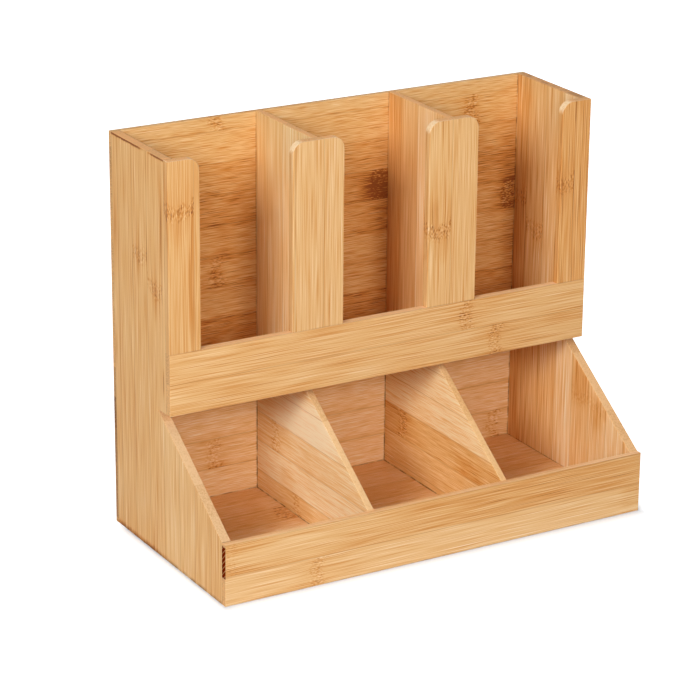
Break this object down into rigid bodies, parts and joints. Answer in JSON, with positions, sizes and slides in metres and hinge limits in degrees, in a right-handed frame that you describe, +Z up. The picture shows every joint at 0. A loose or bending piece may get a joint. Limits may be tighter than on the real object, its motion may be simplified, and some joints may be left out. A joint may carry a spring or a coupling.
{
  "type": "desktop organizer",
  "caption": "Free-standing bamboo organizer with tall open bays between front flanges, above open bins with sloped dividers behind a low front lip.",
  "frame": {"origin": "on the table, at the middle of the footprint", "axes": "+X to the right along the width, +Y to the back, +Z up"},
  "size_m": [0.345, 0.17, 0.295],
  "materials": {
    "bamboo": "sanded, clear satin finish"
  },
  "bodies": {
    "root": {"left_side_panel": "bamboo", "right_side_panel": "bamboo", "back_panel": "bamboo", "bottom_panel": "bamboo", "shelf": "bamboo", "front_lip": "bamboo", "front_rail": "bamboo", "left_lower_divider": "bamboo", "right_lower_divider": "bamboo", "left_upper_divider": "bamboo", "right_upper_divider": "bamboo", "left_end_flange": "bamboo", "left_middle_flange": "bamboo", "right_middle_flange": "bamboo", "right_end_flange": "bamboo"}
  },
  "joints": []
}
